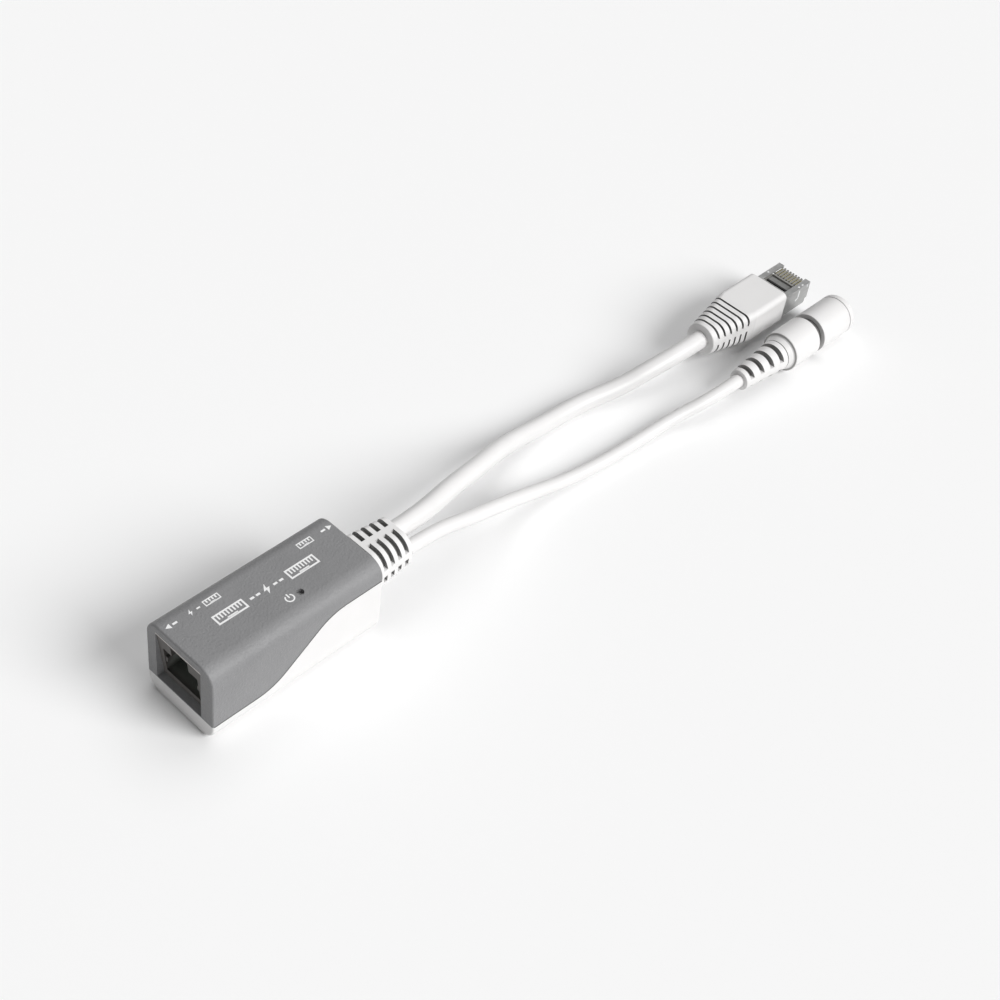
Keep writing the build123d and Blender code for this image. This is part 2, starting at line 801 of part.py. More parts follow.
with BuildPart() as plug_latch:
    tip = (plug_nose_y - 1.4 - latch_length, latch_tip_z)
    with BuildSketch(Plane.YZ.offset(plug_x)):
        with BuildLine():
            Line(latch_root, tip)
        trace(line_width=latch_thickness)
        with Locations(latch_root):
            Circle(latch_thickness / 2)
    extrude(amount=latch_shoulder_width / 2, both=True)
    # Past its shoulders the latch narrows to the lever that a thumb presses.
    for side in (-1, 1):
        cut_width = (latch_shoulder_width - latch_width) / 2
        cut_x = plug_x + side * (latch_width / 2 + cut_width / 2)
        cut_length = latch_length
        with Locations((cut_x + side * 0.05, plug_nose_y - 1.4 - latch_shoulder_length - cut_length / 2, 2)):
            Box(cut_width + 0.1, cut_length, 8, mode=Mode.SUBTRACT)
finish_part(plug_latch, "plug_latch")


# ==== Plug boot ================================================================================
def boot_section(y, width, height, radius):
    """Rounded section of the boot at y, centred on the plug's axis."""
    with BuildSketch(across(y)) as outline:
        with Locations((plug_x, boot_z)):
            RectangleRounded(width, height, radius)
    return outline.sketch


boot_taper_y = beyond(boot_front - boot_straight)
boot_tail_y = beyond(boot_rear)


def boot_tail(inset, end_wall=0):
    """Tapered tail of the boot, from the straight part to the lead, drawn in by inset.

    It stops end_wall short of the boot's end.
    """
    tail = boot_tail_diameter - 2 * inset
    width = boot_width - 2 * inset
    height = boot_height - 2 * inset
    with BuildPart() as cone:
        root = boot_section(boot_taper_y, width, height, max(boot_corner - inset, 0.6))
        loft([root, boot_section(boot_tail_y, tail, tail, tail / 2 - 0.05)])
        if end_wall:
            split(bisect_by=across(boot_tail_y + end_wall), keep=Keep.BOTTOM)
    return cone.part


with BuildPart() as plug_boot:
    add(boot_tail(0))
    fillet(plug_boot.faces().sort_by(Axis.Y)[0].edges(), 0.35)
    extrude(boot_section(boot_taper_y, boot_width, boot_height, boot_corner), amount=-boot_straight)
    fillet(plug_boot.faces().sort_by(Axis.Y)[-1].edges(), 0.3)
    # Hollow that the plug's rear end sits in, and the hollow that holds the core of the tail.
    with BuildSketch(across(beyond(boot_front) + 1)):
        with Locations((plug_x, plug_z)):
            Rectangle(plug_width + 2 * fit_gap, plug_height + 2 * fit_gap)
    extrude(amount=plug_length - (plug_front - boot_front) + 1.2, mode=Mode.SUBTRACT)
    add(boot_tail(boot_skin, boot_end_wall), mode=Mode.SUBTRACT)
    # Slots: rings that go round the tail, apart from a rib along each side.
    for row in range(boot_slots):
        with BuildSketch(across(boot_taper_y - boot_first_slot - row * boot_slot_pitch)):
            with Locations((plug_x, boot_z)):
                Rectangle(boot_width + 4, boot_height + 4)
                with Locations((0, 1.0)):
                    Rectangle(boot_width + 8, 1.9, mode=Mode.SUBTRACT)
        extrude(amount=-boot_slot, mode=Mode.SUBTRACT)
finish_part(plug_boot, "plug_boot")

with BuildPart() as boot_core:
    add(boot_tail(boot_skin + core_gap, boot_end_wall + core_gap))
finish_part(boot_core, "boot_core")


# ==== Barrel jack ==============================================================================
def barrel_plane():
    """Half-plane through the barrel's axis: local x is the radius, local y runs along +Y."""
    return Plane(origin=(barrel_x, 0, barrel_radius), x_dir=(1, 0, 0), z_dir=(0, 0, 1))


def turned(points):
    """Solid turned about the barrel's axis from (radius, distance) points."""
    with BuildPart() as piece:
        with BuildSketch(barrel_plane()):
            with BuildLine():
                Polyline(*[(radius, beyond(distance)) for radius, distance in points], close=True)
            make_face()
        revolve(axis=Axis((barrel_x, 0, barrel_radius), (0, 1, 0)))
    return piece.part


tail_root = barrel_tail_start
tail_end = barrel_tail_end
insulator_radius = bore_radius + sleeve_wall + insulator_wall
groove_radius = barrel_radius - barrel_groove_depth


with BuildPart() as barrel_front_shell:
    inner = insulator_radius + 0.02
    add(turned([(inner, barrel_groove_front), (barrel_radius, barrel_groove_front),
                (barrel_radius, barrel_front), (inner, barrel_front)]))
    rims = barrel_front_shell.edges().filter_by(GeomType.CIRCLE).filter_by(lambda e: e.radius > insulator_radius + 1)
    fillet(rims.sort_by(Axis.Y)[-1], barrel_nose_rounding)
    rims = barrel_front_shell.edges().filter_by(GeomType.CIRCLE).filter_by(lambda e: e.radius > insulator_radius + 1)
    fillet(rims.sort_by(Axis.Y)[0], barrel_groove_rounding)
    # Shallow line round the nose that leaves a lip at its end.
    groove_start = barrel_front - nose_groove_back
    floor = barrel_radius - nose_groove_depth
    add(turned([(floor, groove_start), (barrel_radius + 1, groove_start),
                (barrel_radius + 1, groove_start + nose_groove), (floor, groove_start + nose_groove)]),
        mode=Mode.SUBTRACT)
finish_part(barrel_front_shell, "barrel_front_shell")

with BuildPart() as barrel_ring:
    add(turned([(insulator_radius + 0.02, barrel_groove_rear), (groove_radius, barrel_groove_rear),
                (groove_radius, barrel_groove_front), (insulator_radius + 0.02, barrel_groove_front)]))
finish_part(barrel_ring, "barrel_ring")

with BuildPart() as barrel_rear_shell:
    collar_rear = barrel_tail_start + step_groove
    collar_front = barrel_rear - step_cove - 0.1
    add(turned([
        (0, barrel_tail_start),
        (step_start_radius - step_groove_depth, barrel_tail_start),
        (step_start_radius - step_groove_depth, collar_rear),
        (step_start_radius, collar_rear),
        (step_radius, collar_front),
        (step_radius, barrel_rear),
        (barrel_radius, barrel_rear),
        (barrel_radius, barrel_groove_rear),
        (0, barrel_groove_rear),
    ]))
    rim = barrel_rear_shell.edges().filter_by(GeomType.CIRCLE).filter_by(lambda e: e.radius > step_radius + 0.1)
    fillet(rim.sort_by(Axis.Y)[0], 0.3)
    rim = barrel_rear_shell.edges().filter_by(GeomType.CIRCLE).filter_by(lambda e: e.radius > step_radius + 0.1)
    fillet(rim.sort_by(Axis.Y)[-1], barrel_groove_rounding)
    # Cove between the collar and the face behind it.
    inner_corner = barrel_rear_shell.edges().filter_by(GeomType.CIRCLE).filter_by(
        lambda e: abs(e.radius - step_radius) < 0.01 and abs(e.center().Y - beyond(barrel_rear)) < 0.01)
    fillet(inner_corner, step_cove)
finish_part(barrel_rear_shell, "barrel_rear_shell")

with BuildPart() as barrel_insulator:
    bore_end = barrel_front - 0.4 - bore_depth
    add(turned([(0, barrel_groove_rear), (insulator_radius, barrel_groove_rear),
                (insulator_radius, barrel_front - 0.4), (bore_radius + sleeve_wall, barrel_front - 0.4),
                (bore_radius + sleeve_wall, bore_end), (0, bore_end)]))
finish_part(barrel_insulator, "barrel_insulator")

with BuildPart() as barrel_sleeve:
    outer = bore_radius + sleeve_wall - 0.02
    add(turned([(bore_radius, bore_end), (outer, bore_end),
                (outer, barrel_front - pin_tip_recess), (bore_radius, barrel_front - pin_tip_recess)]))
finish_part(barrel_sleeve, "barrel_sleeve")

with BuildPart() as barrel_pin:
    tip = barrel_front - pin_tip_recess
    add(turned([(0, bore_end), (centre_pin_radius, bore_end), (centre_pin_radius, tip - 0.6),
                (centre_pin_radius - 0.4, tip), (0, tip)]))
finish_part(barrel_pin, "barrel_pin")

with BuildPart() as barrel_tail:
    add(turned([(tail_core_root_radius, tail_root), (tail_root_radius, tail_root),
                (tail_end_radius, tail_end), (tail_core_end_radius, tail_end)]))
    fillet(barrel_tail.edges().filter_by(GeomType.CIRCLE).group_by(Axis.Y)[0].sort_by(SortBy.RADIUS)[-1], 0.3)
    for row in range(tail_slots):
        distance = tail_root - tail_first_slot - row * tail_slot_pitch
        with BuildSketch(across(beyond(distance - tail_slot / 2))):
            with Locations((barrel_x, barrel_radius)):
                Circle(tail_root_radius + 2)
                Rectangle(4 * tail_root_radius, tail_rib, mode=Mode.SUBTRACT)
        extrude(amount=-tail_slot, mode=Mode.SUBTRACT)
finish_part(barrel_tail, "barrel_tail")

with BuildPart() as barrel_tail_core:
    inner_root = tail_core_root_radius - core_gap
    inner_end = tail_core_end_radius - core_gap
    add(turned([(0, tail_root), (inner_root, tail_root), (inner_end, tail_end), (0, tail_end)]))
finish_part(barrel_tail_core, "barrel_tail_core")
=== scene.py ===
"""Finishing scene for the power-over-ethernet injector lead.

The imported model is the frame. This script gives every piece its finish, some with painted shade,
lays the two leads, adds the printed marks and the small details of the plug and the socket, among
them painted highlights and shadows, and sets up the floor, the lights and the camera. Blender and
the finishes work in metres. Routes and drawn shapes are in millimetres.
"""

import math

import bmesh
import bpy
from mathutils import Matrix, Vector


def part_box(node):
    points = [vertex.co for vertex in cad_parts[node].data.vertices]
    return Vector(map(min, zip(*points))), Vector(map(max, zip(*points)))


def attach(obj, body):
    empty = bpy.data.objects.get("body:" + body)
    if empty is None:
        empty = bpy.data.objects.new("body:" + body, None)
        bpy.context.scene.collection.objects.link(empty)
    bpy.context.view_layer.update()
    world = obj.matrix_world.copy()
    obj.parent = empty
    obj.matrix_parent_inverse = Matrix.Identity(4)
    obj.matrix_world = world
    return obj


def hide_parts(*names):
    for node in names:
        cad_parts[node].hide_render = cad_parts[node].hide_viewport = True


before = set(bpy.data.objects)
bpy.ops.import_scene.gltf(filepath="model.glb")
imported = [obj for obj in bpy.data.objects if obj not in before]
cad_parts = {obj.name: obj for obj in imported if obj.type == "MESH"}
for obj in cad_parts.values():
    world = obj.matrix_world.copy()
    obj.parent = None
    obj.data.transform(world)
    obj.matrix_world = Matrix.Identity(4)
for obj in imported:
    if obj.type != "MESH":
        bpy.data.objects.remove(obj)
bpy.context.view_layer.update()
MM = 0.001


def box_mm(node):
    """A node's lowest and highest corners, in millimetres."""
    return [[value / MM for value in corner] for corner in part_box(node)]


# ---- Shader maths -------------------------------------------------------------------------------
class Value:
    """A node's output socket that can be added, subtracted and multiplied like a number."""

    def __init__(self, finish, socket):
        self.finish = finish
        self.socket = socket

    def math(self, operation, first, second):
        """The value that this operation gives for two values or numbers."""
        settings = {"operation": operation}
        return self.finish.node("ShaderNodeMath", settings, {0: first, 1: second})

    def __add__(self, other):
        return self.math("ADD", self, other)

    def __radd__(self, other):
        return self.math("ADD", other, self)

    def __sub__(self, other):
        return self.math("SUBTRACT", self, other)

    def __rsub__(self, other):
        return self.math("SUBTRACT", other, self)

    def __mul__(self, other):
        return self.math("MULTIPLY", self, other)

    def __rmul__(self, other):
        return self.math("MULTIPLY", other, self)

    def smooth(self, low, high):
        """0 below low, 1 above high and a smooth change between."""
        settings = {"interpolation_type": "SMOOTHSTEP"}
        inputs = {"Value": self, "From Min": low, "From Max": high, "To Min": 0.0, "To Max": 1.0}
        return self.finish.node("ShaderNodeMapRange", settings, inputs)


class Finish:
    """A material with a Principled shader, built up by expressions."""

    def __init__(self, name, metallic=0.0):
        self.material = bpy.data.materials.new(name)
        self.material.use_nodes = True
        self.nodes = self.material.node_tree.nodes
        self.links = self.material.node_tree.links
        self.shader = self.nodes["Principled BSDF"]
        self.shader.inputs["Metallic"].default_value = metallic
        self.place = self.node("ShaderNodeTexCoord", {}, {}, "Object")

    def feed(self, socket, value):
        """Gives a value or a link to a node's input."""
        if isinstance(value, Value):
            self.links.new(value.socket, socket)
        else:
            socket.default_value = value

    def node(self, kind, settings, inputs, output=0):
        """A node of this type, with its settings made before its inputs, as the value it gives."""
        made = self.nodes.new(kind)
        for name, value in settings.items():
            if name == "stops":
                self.set_stops(made.color_ramp, value)
            else:
                setattr(made, name, value)
        for name, value in inputs.items():
            self.feed(made.inputs[name], value)
        return Value(self, made.outputs[output])

    @staticmethod
    def set_stops(ramp, stops):
        """Gives a new ramp, which has two stops, these places and colours."""
        for element, (position, colour) in zip(ramp.elements, stops):
            element.position = position
            element.color = (*colour, 1.0)

    def noise(self, size, detail=2.0, roughness=0.5, place=None):
        """Noise whose features are about this many metres across."""
        inputs = {
            "Vector": place or self.place,
            "Scale": 1.0 / size,
            "Detail": detail,
            "Roughness": roughness,
        }
        return self.node("ShaderNodeTexNoise", {}, inputs)

    def pits(self, size):
        """Round hollows, 0 in the middle of each."""
        inputs = {"Vector": self.place, "Scale": 1.0 / size}
        return self.node("ShaderNodeTexVoronoi", {}, inputs, "Distance")

    def along(self, vector=None):
        """How far a vector, or else a point's place, reaches along the object, front to rear."""
        return self.node("ShaderNodeSeparateXYZ", {}, {"Vector": vector or self.place}, "Y")

    def drift(self, noise, dark, light, low=0.3, high=0.7):
        """Colour that wanders from dark, where the noise is low, to light."""
        stops = [(low, dark), (high, light)]
        return self.node("ShaderNodeValToRGB", {"stops": stops}, {"Fac": noise})

    def mix(self, factor, first, second):
        """Colour mixed from first, where factor is 0, to second."""
        first, second = [(*c, 1.0) if isinstance(c, tuple) else c for c in (first, second)]
        colour_inputs = {0: factor, 6: first, 7: second}
        return self.node("ShaderNodeMix", {"data_type": "RGBA"}, colour_inputs, 2)

    def bump(self, height, distance):
        """A normal for a surface this high and deep, in metres."""
        inputs = {"Height": height, "Distance": distance, "Strength": 1.0}
        return self.node("ShaderNodeBump", {}, inputs)

    def set(self, **sockets):
        """Feeds the shader's sockets, named with underscores, and gives the material."""
        for name, value in sockets.items():
            if isinstance(value, tuple):
                value = (*value, 1.0)
            self.feed(self.shader.inputs[name.replace("_", " ")], value)
        return self.material


def shade(colour, factor):
    """The colour made darker or paler by a factor."""
    return tuple(channel * factor for channel in colour)


# ---- Finishes -----------------------------------------------------------------------------------
WHITE = (0.76, 0.752, 0.748)
FLOW_SIZE = 0.009  # the faint flow marks of moulded plastic
FINE_SIZE = 0.0009  # the fine unevenness between them
MOULD_DEPTH = 0.00002  # how deep both are
SLOTTED_ROUGH = 0.5
# Slotted mouldings keep white ends; elsewhere their slot walls carry painted shade.
WHITE_END = 0.0007  # the end of a slotted moulding that stays white
NO_WHITE_END = -0.001  # for one that is shaded to its very ends
WHITE_CORE_END = 0.001  # the end of an inner moulding that stays white
EDGE_BLEND = 0.0001  # over which one colour gives way to the next


def uneven(rough, noise, amount):
    """Roughness that wanders about its middle value with a noise."""
    return rough + (noise - 0.5) * amount


def textured_plastic(name, colour, size, depth, rough):
    """Moulded plastic with a spark-eroded texture, speckled and a little cloudy."""
    coarse_size = size * 2.2
    cloud_size = 0.012
    finish = Finish(name)
    grain = finish.noise(size, detail=3.0, roughness=0.6)
    coarse = finish.noise(coarse_size, roughness=0.6)
    pits = finish.pits(coarse_size)
    cloud = finish.noise(cloud_size)
    tone = finish.drift(cloud, shade(colour, 0.95), shade(colour, 1.05))
    specks = grain.smooth(0.35, 0.7) * 0.25
    speckled = finish.mix(specks, tone, shade(colour, 1.25))
    bump = finish.bump(grain * 0.5 + coarse * 0.8 + pits * 0.4, depth)
    return finish.set(Base_Color=speckled, Roughness=uneven(rough, coarse, 0.3), Normal=bump)


def mould(finish, colour, rough):
    """Gives a finish the marks of smooth moulding, and returns the colour that goes with them."""
    flow = finish.noise(FLOW_SIZE)
    fine = finish.noise(FINE_SIZE, detail=3.0, roughness=0.6)
    bump = finish.bump(flow * 0.5 + fine * 0.5, MOULD_DEPTH)
    finish.set(Roughness=uneven(rough, fine, 0.12), Normal=bump)
    return finish.drift(flow, shade(colour, 0.975), colour)


def satin_plastic(name, colour, rough=0.42):
    """Smooth moulded plastic with faint flow marks."""
    finish = Finish(name)
    return finish.set(Base_Color=mould(finish, colour, rough))


def inside_ends(finish, node, end):
    """1 along a node, and 0 within this distance of either end."""
    low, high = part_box(node)
    y = finish.along()
    past_front = y.smooth(low[1] + end, low[1] + end + EDGE_BLEND)
    past_rear = y.smooth(high[1] - end - EDGE_BLEND, high[1] - end)
    return past_front * (1 - past_rear)


def slotted_plastic(name, node, wall_shade_colour, end=WHITE_END):
    """White moulding with painted shade on the slot walls that face along it, apart from its ends.
    """
    finish = Finish(name)
    tone = mould(finish, WHITE, SLOTTED_ROUGH)
    facing = finish.along(finish.node("ShaderNodeNewGeometry", {}, {}, "True Normal"))
    # Painted shade: walls that face along the moulding, the slot walls, are darkened towards the
    # shade colour.
    painted_wall_shade = (facing * facing).smooth(0.7, 0.9) * inside_ends(finish, node, end)
    return finish.set(Base_Color=finish.mix(painted_wall_shade, tone, wall_shade_colour))


def core_plastic(name, node, dark):
    """Inner moulding, with painted shade where the slots bare it and white at its outer ends."""
    mottle_size = 0.004
    finish = Finish(name)
    mottle = finish.noise(mottle_size)
    # Painted shade: the dark colour stands in for the shade in the slots.
    bared_slot_shade = finish.drift(mottle, shade(dark, 0.9), dark)
    colour = finish.mix(inside_ends(finish, node, WHITE_CORE_END), WHITE, bared_slot_shade)
    return finish.set(Base_Color=colour, Roughness=0.55 + mottle * 0.1)


def strain_bar_plastic(name):
    """Grey bar whose rear end is painted near black, a painted shadow of the gap behind it."""
    mottle_size = 0.0012
    shadow_reach = 0.0006
    painted_gap_shadow = (0.005, 0.005, 0.005)
    finish = Finish(name)
    mottle = finish.noise(mottle_size)
    # Painted shadow: the rear end of the bar is near black for the shade of the gap behind it.
    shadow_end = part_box("plug_strain_bar")[0][1] + shadow_reach
    past_shadow = finish.along().smooth(shadow_end, shadow_end + EDGE_BLEND)
    grey = finish.drift(mottle, (0.16, 0.16, 0.155), (0.21, 0.21, 0.205))
    return finish.set(Base_Color=finish.mix(past_shadow, painted_gap_shadow, grey), Roughness=0.5 + mottle * 0.1)


def socket_plastic(name):
    """Dark plastic with a brownish face, and painted light that makes it paler deep in the socket.
    """
    mottle_size = 0.0015
    dark_until, painted_light_from = 0.0012, 0.003
    pale = (0.2, 0.21, 0.195)
    finish = Finish(name)
    mottle = finish.noise(mottle_size)
    face_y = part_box("jack_housing")[0][1]
    # Painted light: the housing is paler deep in the socket, where its own shade falls.
    deep_painted_light = finish.along().smooth(face_y + dark_until, face_y + painted_light_from)
    face = finish.drift(mottle, (0.082, 0.075, 0.07), (0.094, 0.086, 0.08))
    return finish.set(Base_Color=finish.mix(deep_painted_light, face, pale), Roughness=0.48 + mottle * 0.08)


def plated_metal(name, colour, rough):
    """Plated sheet with drawing marks along the object."""
    mark_size = 0.0004
    mark_depth = 0.00001
    smudge_size = 0.004
    stretch = (1.0, 0.06, 1.0)
    finish = Finish(name, metallic=1.0)
    drawn_place = finish.node("ShaderNodeMapping", {}, {"Vector": finish.place, "Scale": stretch})
    drawn = finish.noise(mark_size, detail=3.0, roughness=0.6, place=drawn_place)
    smudge = finish.noise(smudge_size)
    dull = shade(colour, 0.78)
    tone = finish.drift(drawn * 0.5 + smudge * 0.5, dull, colour, low=0.35, high=0.62)
    bump = finish.bump(drawn, mark_depth)
    return finish.set(Base_Color=tone, Roughness=uneven(rough, smudge, 0.25), Normal=bump)


finishes = {
    "grey": textured_plastic(
        "Textured grey plastic", (0.217, 0.217, 0.221), size=0.00026, depth=0.00013, rough=0.46
    ),
    "white": satin_plastic("White plastic", WHITE),
    # The second colour of each slotted moulding is painted shade for its slot walls.
    "relief": slotted_plastic("Slotted strain relief", "relief_sleeve", (0.33, 0.328, 0.323)),
    "boot": slotted_plastic("Slotted plug boot", "plug_boot", (0.24, 0.24, 0.235)),
    "tail": slotted_plastic("Slotted barrel tail", "barrel_tail", (0.36, 0.355, 0.35)),
    "barrel_rear": slotted_plastic(
        "Rear shell of the barrel", "barrel_rear_shell", (0.40, 0.395, 0.39), NO_WHITE_END
    ),
    # The cores' dark colours are painted shade where the slots bare them.
    "relief_core": core_plastic("Strain relief core", "relief_core", (0.21, 0.207, 0.203)),
    "boot_core": core_plastic("Boot core", "boot_core", (0.09, 0.09, 0.09)),
    "tail_core": core_plastic("Tail core", "barrel_tail_core", (0.13, 0.127, 0.125)),
    "jacket": satin_plastic("Lead jacket", WHITE, 0.4),
    "socket": socket_plastic("Dark socket plastic"),
    "black": satin_plastic("Black moulding", (0.02, 0.02, 0.02), 0.45),
    # Painted shade: the barrel's ring is dark to stand in for the shade in its groove.
    "groove_shade": satin_plastic("Barrel ring in painted groove shade", (0.13, 0.127, 0.125), 0.45),
    "ink": satin_plastic("White ink", (0.86, 0.86, 0.86), 0.5),
    "wire": satin_plastic("Wire insulation", (0.10, 0.22, 0.42), 0.4),
    "board": satin_plastic("Board solder mask", (0.015, 0.11, 0.04), 0.3),
    "gold": plated_metal("Gold plating", (0.85, 0.62, 0.22), 0.28),
    "blade": plated_metal("Flash gold plating", (0.74, 0.66, 0.34), 0.3),
    # Painted highlight: the pale strip along the socket's mouth.
    "rim_highlight": satin_plastic("Painted highlight on the socket rim", (0.72, 0.68, 0.65), 0.4),
    "metal": plated_metal("Nickel plated sheet", (0.49, 0.49, 0.485), 0.34),
    "tin": plated_metal("Tinned metal", (0.72, 0.72, 0.70), 0.3),
    "clear": satin_plastic("Clear plug moulding", (0.44, 0.44, 0.44), 0.14),
    "comb": satin_plastic("Clear moulding over the wires", (0.27, 0.265, 0.25), 0.2),
    # Painted highlight: white for the light that shows in the clear moulding's windows.
    "window_highlight": satin_plastic("Painted highlight in the clear moulding's windows", (0.9, 0.91, 0.91), 0.12),
    "bar": strain_bar_plastic("Strain bar plastic"),
    "seam": satin_plastic("Joint shadow", (0.06, 0.06, 0.06), 0.6),
    "lamp": satin_plastic("Lamp lens", (0.10, 0.30, 0.62), 0.2),
}

node_finishes = {
    "grey": ["top_cover"],
    "white": ["bottom_cover", "barrel_front_shell"],
    "barrel_rear": ["barrel_rear_shell"],
    "relief": ["relief_sleeve"],
    "boot": ["plug_boot"],
    "tail": ["barrel_tail"],
    "relief_core": ["relief_core"],
    "boot_core": ["boot_core"],
    "tail_core": ["barrel_tail_core"],
    "jacket": ["data_cable", "power_cable"],
    "socket": ["jack_housing"],
    "black": [
        "magnetics_module",
        "filter_choke",
        "rectifier_diode",
        "resettable_fuse",
        "lamp_resistor",
        "barrel_insulator",
    ],
    "groove_shade": ["barrel_ring"],
    "wire": ["data_wires", "power_wires"],
    "board": ["circuit_board"],
    "gold": ["jack_contacts"],
    "blade": ["plug_contacts"],
    "bar": ["plug_strain_bar"],
    "metal": ["plug_shield"],
    "tin": ["magnetics_pins", "filter_capacitor", "barrel_sleeve", "barrel_pin"],
    "comb": ["plug_body"],
    "clear": ["plug_latch", "light_pipe"],
    "lamp": ["status_lamp"],
}
for finish_name, nodes in node_finishes.items():
    for node in nodes:
        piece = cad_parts[node]
        piece.data.materials.clear()
        piece.data.materials.append(finishes[finish_name])


def add_object(name, data):
    """Puts a mesh, a curve, a light or a camera in the scene."""
    made = bpy.data.objects.new(name, data)
    bpy.context.collection.objects.link(made)
    return made


# ---- Leads --------------------------------------------------------------------------------------
def lay_lead(name, node, route, diameter):
    """A lead as one smooth spline with the route's points as its control points."""
    curve = bpy.data.curves.new(name, "CURVE")
    curve.dimensions = "3D"
    curve.bevel_depth = diameter * MM / 2
    curve.bevel_resolution = 8
    curve.resolution_u = 12
    curve.use_fill_caps = True
    spline = curve.splines.new("NURBS")
    spline.points.add(len(route) - 1)
    for point, (x, y, z) in zip(spline.points, route):
        point.co = (x * MM, y * MM, z * MM, 1.0)
    spline.order_u = 3
    spline.use_endpoint_u = True
    curve.materials.append(finishes["jacket"])
    lead = add_object(name, curve)
    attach(lead, "lead")
    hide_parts(node)


data_route = [
    (1.7, 31.2, 17.9),
    (1.7, 41.3, 17.9),
    (-1.5, 54.8, 16.0),
    (-5.3, 69.3, 11.4),
    (-9.9, 84.8, 6.4),
    (-11.0, 100.8, 2.9),
    (-10.6, 115.8, 2.65),
    (-7.1, 128.8, 3.9),
    (-4.7, 139.2, 6.8),
    (-3.03, 149.2, 8.35),
    (-3.03, 158.55, 8.35),
]
power_route = [
    (7.8, 31.2, 17.9),
    (7.8, 40.3, 17.9),
    (8.7, 52.3, 15.2),
    (7.0, 65.3, 9.8),
    (6.0, 77.8, 4.8),
    (7.2, 90.8, 2.1),
    (8.9, 104.8, 1.95),
    (9.5, 118.8, 1.95),
    (10.4, 131.8, 3.0),
    (13.93, 144.3, 6.0),
    (13.93, 155.75, 6.0),
]
lay_lead("data_lead", "data_cable", data_route, 5.3)
lay_lead("power_lead", "power_cable", power_route, 3.8)


# ---- Printed marks ------------------------------------------------------------------------------
COVER_LOW, COVER_HIGH = box_mm("top_cover")
FRONT = COVER_LOW[1]
TOP = COVER_HIGH[2]
INK_SUNK = 0.02
INK_PROUD = 0.03
ARC_STEP = 9  # degrees that one facet of a round band turns through


def add_piece(name, shape, finish):
    """Turns a bmesh in millimetres into a piece that rides with the box."""
    bmesh.ops.scale(shape, vec=(MM, MM, MM), verts=shape.verts)
    mesh = bpy.data.meshes.new(name)
    shape.to_mesh(mesh)
    shape.free()
    mesh.materials.append(finishes[finish])
    piece = add_object(name, mesh)
    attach(piece, "lead")


class Print:
    """Flat marks in ink on the top cover: along runs to the rear, up runs to the left."""

    def __init__(self, name, along, up):
        self.name = name
        self.shape = bmesh.new()
        self.along = along
        self.up = up

    def place(self, along, up, turn=0.0):
        """Where a mark drawn about its own middle goes, turned anticlockwise by degrees."""
        shift = Matrix.Translation((-(self.up + up), FRONT + self.along + along, TOP))
        return shift @ Matrix.Rotation(math.radians(90 + turn), 4, "Z")

    def bar(self, along, up, length, width):
        """A filled rectangle."""
        matrix = self.place(along, up) @ Matrix.Diagonal((length, width, 1.0, 1.0))
        bmesh.ops.create_grid(self.shape, x_segments=1, y_segments=1, size=0.5, matrix=matrix)

    def frame(self, along, up, length, width, line):
        """The outline of a rectangle."""
        for side in (-1, 1):
            self.bar(along, up + side * (width - line) / 2, length, line)
            self.bar(along + side * (length - line) / 2, up, line, width - 2 * line)

    def triangle(self, along, up, radius, turn):
        """A filled triangle with equal sides."""
        matrix = self.place(along, up, turn)
        bmesh.ops.create_circle(
            self.shape, cap_ends=True, radius=radius, segments=3, matrix=matrix
        )

    def outline(self, along, up, points):
        """A flat shape with these corners."""
        matrix = self.place(along, up)
        corners = [self.shape.verts.new(matrix @ Vector((x, y, 0))) for x, y in points]
        self.shape.faces.new(corners)

    def arc(self, along, up, radius, line, start, sweep):
        """A round band from start, swept anticlockwise."""
        matrix = self.place(along, up)
        ends = [Vector((radius + side * line / 2, 0, 0)) for side in (-1, 1)]
        turn_start = Matrix.Rotation(math.radians(start), 4, "Z")
        corners = [self.shape.verts.new(matrix @ turn_start @ end) for end in ends]
        edge = self.shape.edges.new(corners)
        bmesh.ops.spin(
            self.shape,
            geom=[*corners, edge],
            cent=matrix @ Vector((0, 0, 0)),
            axis=(0, 0, 1),
            angle=math.radians(sweep),
            steps=round(sweep / ARC_STEP),
            use_duplicate=False,
        )

    def ink(self):
        """Gives the marks their thickness and puts them on the cover."""
        for vert in self.shape.verts:
            vert.co.z = TOP - INK_SUNK
        faces = list(self.shape.faces)
        grown = bmesh.ops.extrude_face_region(self.shape, geom=faces)["geom"]
        raised = [item for item in grown if isinstance(item, bmesh.types.BMVert)]
        bmesh.ops.translate(self.shape, verts=raised, vec=(0, 0, INK_SUNK + INK_PROUD))
        bmesh.ops.recalc_face_normals(self.shape, faces=self.shape.faces)
        add_piece(self.name, self.shape, "ink")


def print_arrow(name, tip, up, towards):
    """A small arrow with a broken shaft; towards is 1 for the rear and -1 for the front."""
    head_radius = 0.9
    shaft_from_tip = 2.6
    mark = Print(name, tip, up)
    mark.triangle(-towards * head_radius, 0, head_radius, turn=-90 * towards)
    mark.bar(-towards * shaft_from_tip, 0, length=1.3, width=0.55)
    mark.ink()


def draw_port(mark, along, length, height, contacts):
    """A modular socket seen from the front, with its contacts and its latch notch."""
    line = height * 0.15
    mark.frame(along, 0, length, height, line)
    pitch = (length - 2.2 * line) / (contacts + 0.5)
    for index in range(contacts):
        contact = along + (index - (contacts - 1) / 2) * pitch
        mark.bar(contact, height * 0.14, length=pitch * 0.45, width=height * 0.42)
    mark.bar(along, -height * 0.3, length=length * 0.34, width=line)


def draw_bolt(mark, along, height):
    """A zigzag for power."""
    corners = [(0.12, 0.5), (-0.3, -0.08), (-0.04, -0.08), (-0.12, -0.5), (0.3, 0.08), (0.04, 0.08)]
    mark.outline(along, 0, [(x * height, y * height) for x, y in corners])


